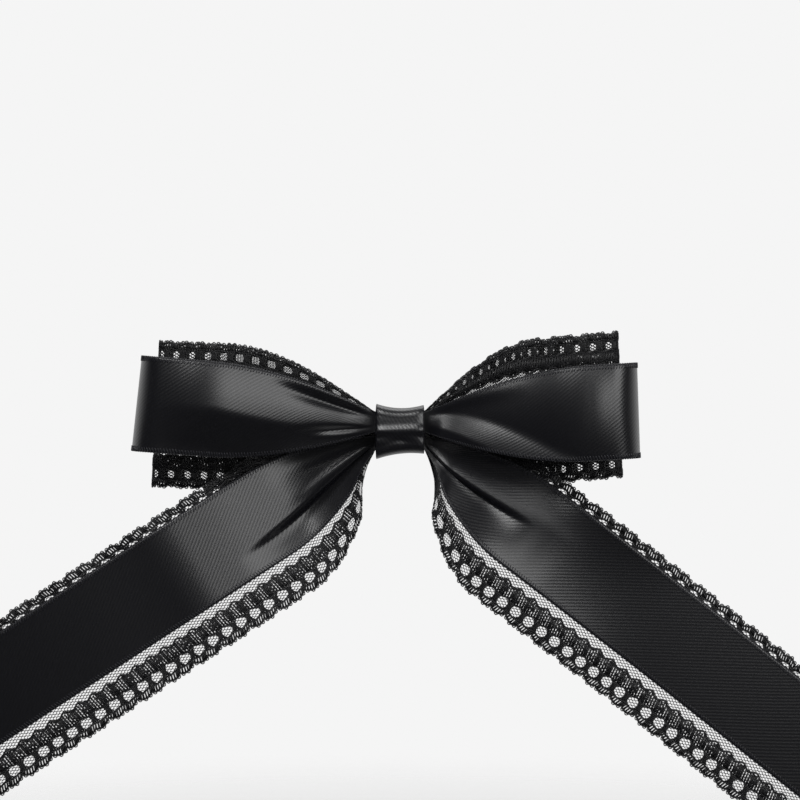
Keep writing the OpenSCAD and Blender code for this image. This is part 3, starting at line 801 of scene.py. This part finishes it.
def ruffle(middle, run, upper_size, lower_size, length):
    """The lace's free edges wave slightly, front to back."""
    t = np.linspace(-1, 1, middle.shape[1])[None, :]
    size = lower_size * smooth((t - 0.35) / 0.65) + upper_size * smooth((-t - 0.35) / 0.65)
    wave = np.sin(2 * math.pi * run / length)[:, None] * size
    waved = middle.copy()
    waved[..., 1] += wave
    return waved


lace_tail = tail_middle(lace_upper, lace_width - lace_upper, lace_tail_y, tail_folds, 49)
lace_run = lengths_along(lace_tail)
lace_tail = ruffle(lace_tail, lace_run, 0.2 * MM, 0.9 * MM, 19 * MM)
tail_carrier = (lace_tail, surface_normals(lace_tail, False), lace_run, lace_width)
tail_middle_run = lace_run[len(lace_run) // 2]
for name, start, end in (("left", 0, tail_middle_run), ("right", tail_middle_run, lace_run[-1])):
    net, work = lace_piece(f"lace_tail_{name}", tail_carrier, start, end)
    net.data.materials.append(net_thread_finish)
    work.data.materials.append(lace_thread)
    for piece in (net, work):
        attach(piece, "bow")
        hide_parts("lace_tails")

# ---- Lace loops --------------------------------------------------------------------------
# The same lace looped behind the satin, a little shorter and wider than it, so that its
# scalloped borders frame the satin above and below.

lace_low, lace_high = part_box("lace_loops")
lace_reach = {-1: -lace_low.x, 1: lace_high.x}
lace_rise = {-1: 4.4 * MM, 1: 6.9 * MM}
lace_lean = {-1: 1.0 * MM, 1: 0.6 * MM}
lace_fan = {-1: 40 * MM, 1: 30 * MM}
lace_folds = {
    -1: [(fold, -0.3, -0.5, 0.2, 0.8 * MM, 40 * MM), (fold, 0.5, 0.7, 0.2, -0.8 * MM, 40 * MM)],
    1: [(fold, -0.4, -0.6, 0.2, 0.8 * MM, 40 * MM), (fold, 0.4, 0.8, 0.2, -0.8 * MM, 40 * MM)],
}
lace_front_y = -4.2 * MM
lace_back_y = -2.6 * MM
lace_end_front = lace_front_y - 1.0 * MM
lace_end_back = 1.0 * MM
clip_tip_x = 34 * MM
lace_paths = [loop_path(lace_reach[s], lace_front_y, lace_back_y, lace_end_front, lace_end_back,
                        clip_tip_x, wrap=14) for s in (1, -1)]
lace_ring = ring_middle(lace_paths, lace_width, satin_gather, lace_rise, lace_reach, lace_lean,
                        lace_fan, lace_folds, 0.4 * MM, 49)
ring_run = lengths_along(lace_ring)
lace_ring = ruffle(lace_ring, ring_run, 0.5 * MM, 0.5 * MM, 17 * MM)
ring_carrier = (lace_ring, surface_normals(lace_ring, True), ring_run, lace_width)
ring_middle_run = ring_run[len(lace_paths[0][0])]
for name, start, end in (("right", 0, ring_middle_run), ("left", ring_middle_run, ring_run[-1])):
    net, work = lace_piece(f"lace_loop_{name}", ring_carrier, start, end)
    net.data.materials.append(net_thread_finish)
    work.data.materials.append(lace_thread)
    for piece in (net, work):
        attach(piece, "bow")
        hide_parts("lace_loops")

# ---- Knot band ---------------------------------------------------------------------------
# A strip of the satin, folded to half its width, goes round the gathered ribbons and the clip's
# plate and is closed behind. It bulges at the front, with one soft crease across it.

band_thick = 0.6 * MM
band_half = (knot_high.x - knot_low.x) / 2
band_front = knot_low.y - 1.0 * MM
band_back = knot_high.y - band_thick / 2
back_half_height = 4.7 * MM
columns = 33
across = np.linspace(-1, 1, columns)[None, :]
top = (5.6 + 0.95 * across ** 2 - 0.15 * across) * MM
bottom = (-5.6 - 0.7 * across ** 2 + 0.7 * across) * MM
band_round = 2.4 * MM
turn_back = -1.4 * MM


def band_bulge(z):
    """Depth of the band's front at height z: a bulge, the crease and a few faint wrinkles."""
    x = across * band_half
    crease = 0.5 * MM * np.exp(-(((z - 0.1 * MM - 0.05 * x) / (1.1 * MM)) ** 2))
    groove = 0.3 * MM * np.exp(-(((z + 2.0 * MM + 0.05 * x) / (1.1 * MM)) ** 2))
    wrinkles = 0.16 * MM * np.sin((z + 0.3 * np.abs(x)) / (0.55 * MM)) * smooth(-z / (2 * MM))
    return (band_front + 0.025 / MM * (z + 0.8 * MM) ** 2 - crease + groove + wrinkles
            + 0.5 * MM * np.abs(across) ** 8)


def band_side(height):
    """The band from the middle of its back to its front's top, or to the bottom if mirrored."""
    up = np.sign(height.mean())
    start = band_bulge(height - up * band_round)
    rows = [(band_back, up * back_half_height * share) for share in np.linspace(0.02, 1, 8)]
    for turn in np.linspace(0.15, 0.95, 6) * np.pi / 2:
        rows.append((band_back + (turn_back - band_back) * (1 - np.cos(turn)),
                     up * back_half_height + (height - up * back_half_height) * np.sin(turn)))
    for share in np.linspace(0.05, 0.95, 12):
        rows.append((turn_back + (start + band_round - turn_back) * share, height))
    for turn in np.linspace(0.0, 0.92, 8) * np.pi / 2:
        rows.append((start + band_round * (1 - np.sin(turn)),
                     height - up * band_round * (1 - np.cos(turn))))
    wide = np.ones_like(across)
    return np.stack([np.stack([across * band_half, y * wide, z * wide], axis=-1)[0]
                     for y, z in rows])


front_rows = []
for share in np.linspace(0, 1, 44):
    z = (top - band_round) * (1 - share) + (bottom + band_round) * share
    front_rows.append(np.stack([across * band_half, band_bulge(z), z], axis=-1)[0])
band_middle = np.concatenate([band_side(top), np.stack(front_rows), band_side(bottom)[::-1]])
knot_band = cloth("knot_band_satin", band_middle, band_thick, 2 * band_half, ring=True)
knot_band.data.materials.append(satin)
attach(knot_band, "bow")
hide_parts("knot_band")

# ---- Binding thread ----------------------------------------------------------------------
# Four turns of two-ply polyester thread tie the gathered ribbons together under the knot band.
# It is wound by hand in front of the clip's plate.

thread_low, thread_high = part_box("binding_thread")
thread_radius = 0.25 * MM
thread_turns = 4
thread_pitch = 1.0 * MM
ply_length = 1.8 * MM
corner = 8
turn = np.linspace(0, 2 * math.pi * thread_turns, 640)
squared = (np.abs(np.cos(turn)) ** corner + np.abs(np.sin(turn)) ** corner) ** (-1 / corner)
thread_deep = (thread_high.y - thread_low.y) / 2 - thread_radius
thread_tall = (thread_high.z - thread_low.z) / 2 - thread_radius
thread_line = np.stack([thread_pitch * (turn / (2 * math.pi) - thread_turns / 2),
                        (thread_low.y + thread_high.y) / 2 + thread_deep * np.cos(turn) * squared,
                        thread_tall * np.sin(turn) * squared], axis=1)


def tube(name, lines, radius):
    """Round wires or strands along lines of points."""
    curve = bpy.data.curves.new(name, "CURVE")
    curve.dimensions = "3D"
    curve.bevel_depth = radius
    curve.bevel_resolution = 3
    curve.use_fill_caps = True
    for line in lines:
        spline = curve.splines.new("POLY")
        spline.points.add(len(line) - 1)
        spline.points.foreach_set("co", np.column_stack([line, np.ones(len(line))]).ravel())
    made = bpy.data.objects.new(name, curve)
    bpy.context.scene.collection.objects.link(made)
    return made


along = np.gradient(thread_line, axis=0)
steps = np.linalg.norm(np.diff(thread_line, axis=0), axis=1)
twist = 2 * math.pi * np.concatenate([[0], np.cumsum(steps)]) / ply_length
sideways = np.array([[1.0, 0.0, 0.0]])
outward = np.cross(along, sideways)
outward /= np.linalg.norm(outward, axis=1, keepdims=True)
plies = [thread_line + thread_radius / 2 * (np.cos(twist + start)[:, None] * sideways
                                            + np.sin(twist + start)[:, None] * outward)
         for start in (0, math.pi)]
binding_thread = tube("binding_thread_plies", plies, thread_radius * 0.52)
binding_thread.data.materials.append(lace_thread)
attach(binding_thread, "bow")
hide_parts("binding_thread")

# ---- Glue pads ---------------------------------------------------------------------------
# Two dabs of hot-melt glue fix the gathered ribbons to the clip's top plate. The glue sets
# milky, with a slightly uneven, shiny skin.

glue, tree, shader = new_material("set_glue")
shader.inputs["Subsurface Weight"].default_value = 0.3
shader.inputs["Subsurface Scale"].default_value = 0.6 * MM
place = node(tree, "ShaderNodeTexCoord")
cloud = node(tree, "ShaderNodeTexNoise", {"Scale": 420.0, "Detail": 3.0})
tree.links.new(place.outputs["Object"], cloud.inputs["Vector"])
mixed_colour(tree, shader, cloud.outputs[0], (0.46, 0.43, 0.36), (0.62, 0.6, 0.53))
tree.links.new(ranged(tree, cloud.outputs[0], 0.18, 0.42), shader.inputs["Roughness"])
bumped(tree, shader, cloud.outputs[0], 0.6, 0.15 * MM)
for place_of_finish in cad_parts["glue_pads"].material_slots:
    place_of_finish.material = glue

# ---- Clip --------------------------------------------------------------------------------
# An alligator clip: a top plate with two ears, a toothed jaw with its lever, and a riveted pin.
# All are stamped or cut from nickel-plated steel, rolled along the clip's length.


def plating_group():
    """Node group: the fine rolled grain of plated steel, and soft marks from handling."""
    group = bpy.data.node_groups.new("plated_grain", "ShaderNodeTree")
    for name, kind in (("Fineness", "NodeSocketFloat"), ("Stretch", "NodeSocketVector")):
        group.interface.new_socket(name, in_out="INPUT", socket_type=kind)
    for name in ("Grain", "Marks"):
        group.interface.new_socket(name, in_out="OUTPUT", socket_type="NodeSocketFloat")
    start = node(group, "NodeGroupInput")
    end = node(group, "NodeGroupOutput")
    place = node(group, "ShaderNodeTexCoord")
    pulled = node(group, "ShaderNodeVectorMath", operation="MULTIPLY")
    group.links.new(place.outputs["Object"], pulled.inputs[0])
    group.links.new(start.outputs["Stretch"], pulled.inputs[1])
    grain = node(group, "ShaderNodeTexNoise", {"Detail": 3.0})
    group.links.new(pulled.outputs[0], grain.inputs["Vector"])
    group.links.new(start.outputs["Fineness"], grain.inputs["Scale"])
    group.links.new(grain.outputs[0], end.inputs["Grain"])
    marks = node(group, "ShaderNodeTexNoise", {"Scale": 260.0, "Detail": 4.0, "Roughness": 0.6})
    group.links.new(place.outputs["Object"], marks.inputs["Vector"])
    group.links.new(marks.outputs[0], end.inputs["Marks"])
    return group


plated_grain = plating_group()


def steel_material(name, dull, bright, gloss, stretch):
    """Plated steel: rolled grain in the gloss and the surface, dull where it was handled."""
    material, tree, shader = new_material(name)
    shader.inputs["Metallic"].default_value = 1.0
    grain = node(tree, "ShaderNodeGroup", node_tree=plated_grain)
    grain.inputs["Fineness"].default_value = 1800.0
    grain.inputs["Stretch"].default_value = stretch
    mixed_colour(tree, shader, grain.outputs["Marks"], dull, bright)
    rough = ranged(tree, grain.outputs["Grain"], gloss, gloss + 0.22)
    tree.links.new(rough, shader.inputs["Roughness"])
    bumped(tree, shader, grain.outputs["Grain"], 0.5, 0.01 * MM)
    return material


plate_steel = steel_material("plated_plate", (0.5, 0.5, 0.51), (0.68, 0.68, 0.69), 0.2,
                             (0.12, 1.0, 1.0))
jaw_steel = steel_material("plated_jaw", (0.48, 0.48, 0.5), (0.66, 0.66, 0.68), 0.22,
                           (0.12, 1.0, 1.0))
pin_steel = steel_material("plated_pin", (0.46, 0.46, 0.48), (0.62, 0.62, 0.64), 0.26,
                           (1.0, 1.0, 0.2))
for name, finish in (("clip_top_plate", plate_steel), ("clip_jaw", jaw_steel),
                     ("hinge_pin", pin_steel)):
    for place_of_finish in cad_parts[name].material_slots:
        place_of_finish.material = finish

# ---- Clip spring -------------------------------------------------------------------------
# A torsion spring of drawn steel wire lies round the hinge pin. Its lower leg bears on the top
# plate, and its upper leg lifts the jaw's lever.

pin_low, pin_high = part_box("hinge_pin")
spring_low, spring_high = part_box("clip_spring")
pin_x = (pin_low.x + pin_high.x) / 2
pin_y = (pin_low.y + pin_high.y) / 2
wire_radius = 0.25 * MM
coil_radius = 1.35 * MM
coil_turns = 3.5
coil_half = spring_high.z - wire_radius
leg_end_x = spring_low.x + 0.05 * MM
turn = np.linspace(0, 1, 120)
angle = -math.pi / 2 + 2 * math.pi * coil_turns * turn
coil = np.stack([pin_x + coil_radius * np.cos(angle), pin_y + coil_radius * np.sin(angle),
                 coil_half * (2 * turn - 1)], axis=1)
lower_end = (leg_end_x, spring_low.y + wire_radius, -coil_half)
upper_end = (leg_end_x, spring_high.y - wire_radius, coil_half)
spring_steel = steel_material("drawn_spring_wire", (0.42, 0.42, 0.44), (0.6, 0.6, 0.62), 0.2,
                              (0.5, 0.5, 0.5))
for name, line, body in (("spring_coil", np.vstack([lower_end, coil]), "bow"),
                         ("spring_upper_leg", np.vstack([coil[-1], upper_end]), "jaw")):
    wire = tube(name, [line], wire_radius)
    wire.data.materials.append(spring_steel)
    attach(wire, body)
    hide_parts("clip_spring")
